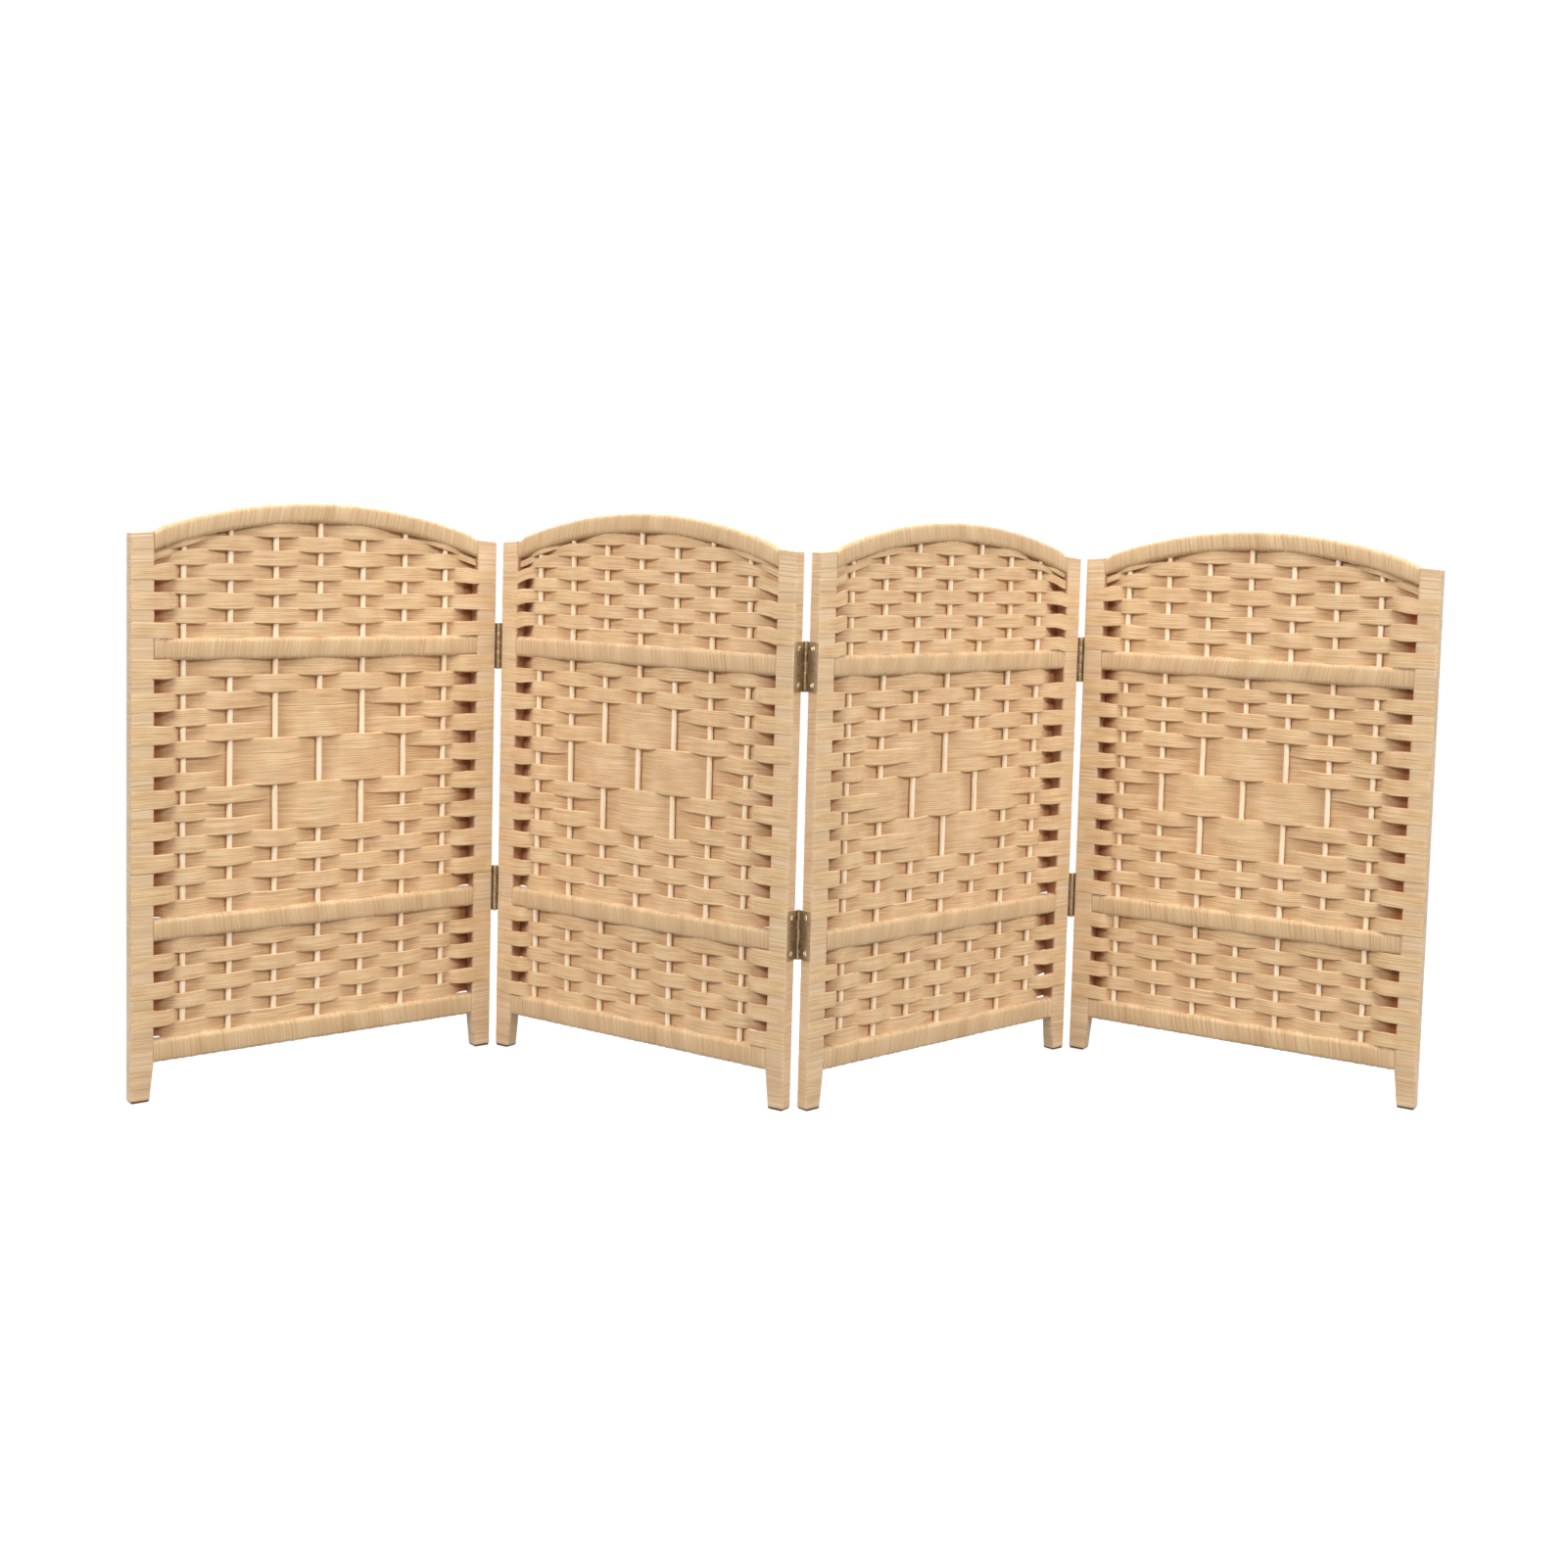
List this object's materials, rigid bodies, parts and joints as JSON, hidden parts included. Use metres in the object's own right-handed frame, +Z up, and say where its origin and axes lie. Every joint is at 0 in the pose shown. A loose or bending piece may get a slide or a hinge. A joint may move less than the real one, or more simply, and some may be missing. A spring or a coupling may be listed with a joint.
{
  "type": "folding screen",
  "caption": "Low folding screen of arched panels, with paper bands woven round bamboo sticks in wrapped frames joined by pairs of hinges.",
  "frame": {"origin": "on the floor, at the middle of the box that the standing screen fills at its pictured fold", "axes": "+X along the row of panels, +Y from the front to the back, +Z up"},
  "size_m": [1.3394, 0.2571, 0.608],
  "materials": {
    "dark_timber": "matte",
    "paper_wrapping": "matte",
    "twisted_paper": "matte",
    "bamboo": "satin",
    "aged_brass": "satin",
    "bright_brass": "polished"
  },
  "bodies": {
    "panel_1": {"panel_1_left_stile": "dark_timber", "panel_1_right_stile": "dark_timber", "panel_1_stile_wraps": "paper_wrapping", "panel_1_top_arch": "paper_wrapping", "panel_1_upper_rail": "paper_wrapping", "panel_1_lower_rail": "paper_wrapping", "panel_1_bottom_rail": "paper_wrapping", "panel_1_sticks": "bamboo", "panel_1_upper_weave": "twisted_paper", "panel_1_middle_weave": "twisted_paper", "panel_1_lower_weave": "twisted_paper", "hinge_1_left_leaves": "aged_brass", "hinge_1_pins": "bright_brass", "hinge_1_left_screws": "bright_brass"},
    "panel_2": {"panel_2_left_stile": "dark_timber", "panel_2_right_stile": "dark_timber", "panel_2_stile_wraps": "paper_wrapping", "panel_2_top_arch": "paper_wrapping", "panel_2_upper_rail": "paper_wrapping", "panel_2_lower_rail": "paper_wrapping", "panel_2_bottom_rail": "paper_wrapping", "panel_2_sticks": "bamboo", "panel_2_upper_weave": "twisted_paper", "panel_2_middle_weave": "twisted_paper", "panel_2_lower_weave": "twisted_paper", "hinge_2_left_leaves": "aged_brass", "hinge_2_pins": "bright_brass", "hinge_2_left_screws": "bright_brass", "hinge_1_right_leaves": "aged_brass", "hinge_1_right_screws": "bright_brass"},
    "panel_3": {"panel_3_left_stile": "dark_timber", "panel_3_right_stile": "dark_timber", "panel_3_stile_wraps": "paper_wrapping", "panel_3_top_arch": "paper_wrapping", "panel_3_upper_rail": "paper_wrapping", "panel_3_lower_rail": "paper_wrapping", "panel_3_bottom_rail": "paper_wrapping", "panel_3_sticks": "bamboo", "panel_3_upper_weave": "twisted_paper", "panel_3_middle_weave": "twisted_paper", "panel_3_lower_weave": "twisted_paper", "hinge_3_left_leaves": "aged_brass", "hinge_3_pins": "bright_brass", "hinge_3_left_screws": "bright_brass", "hinge_2_right_leaves": "aged_brass", "hinge_2_right_screws": "bright_brass"},
    "panel_4": {"panel_4_left_stile": "dark_timber", "panel_4_right_stile": "dark_timber", "panel_4_stile_wraps": "paper_wrapping", "panel_4_top_arch": "paper_wrapping", "panel_4_upper_rail": "paper_wrapping", "panel_4_lower_rail": "paper_wrapping", "panel_4_bottom_rail": "paper_wrapping", "panel_4_sticks": "bamboo", "panel_4_upper_weave": "twisted_paper", "panel_4_middle_weave": "twisted_paper", "panel_4_lower_weave": "twisted_paper", "hinge_3_right_leaves": "aged_brass", "hinge_3_right_screws": "bright_brass"}
  },
  "joints": [
    {"name": "fold_1", "type": "hinge", "parent": "panel_1", "child": "panel_2", "pos_m": [-0.33063, 0.11096, 0.3], "axis": [0, 0, 1], "range_deg": [-108.3, 71.7]},
    {"name": "fold_2", "type": "hinge", "parent": "panel_2", "child": "panel_3", "pos_m": [0.00331, -0.11618, 0.3], "axis": [0, 0, 1], "range_deg": [-74.8, 105.2]},
    {"name": "fold_3", "type": "hinge", "parent": "panel_3", "child": "panel_4", "pos_m": [0.33385, 0.11589, 0.3], "axis": [0, 0, 1], "range_deg": [-106.6, 73.4]}
  ]
}
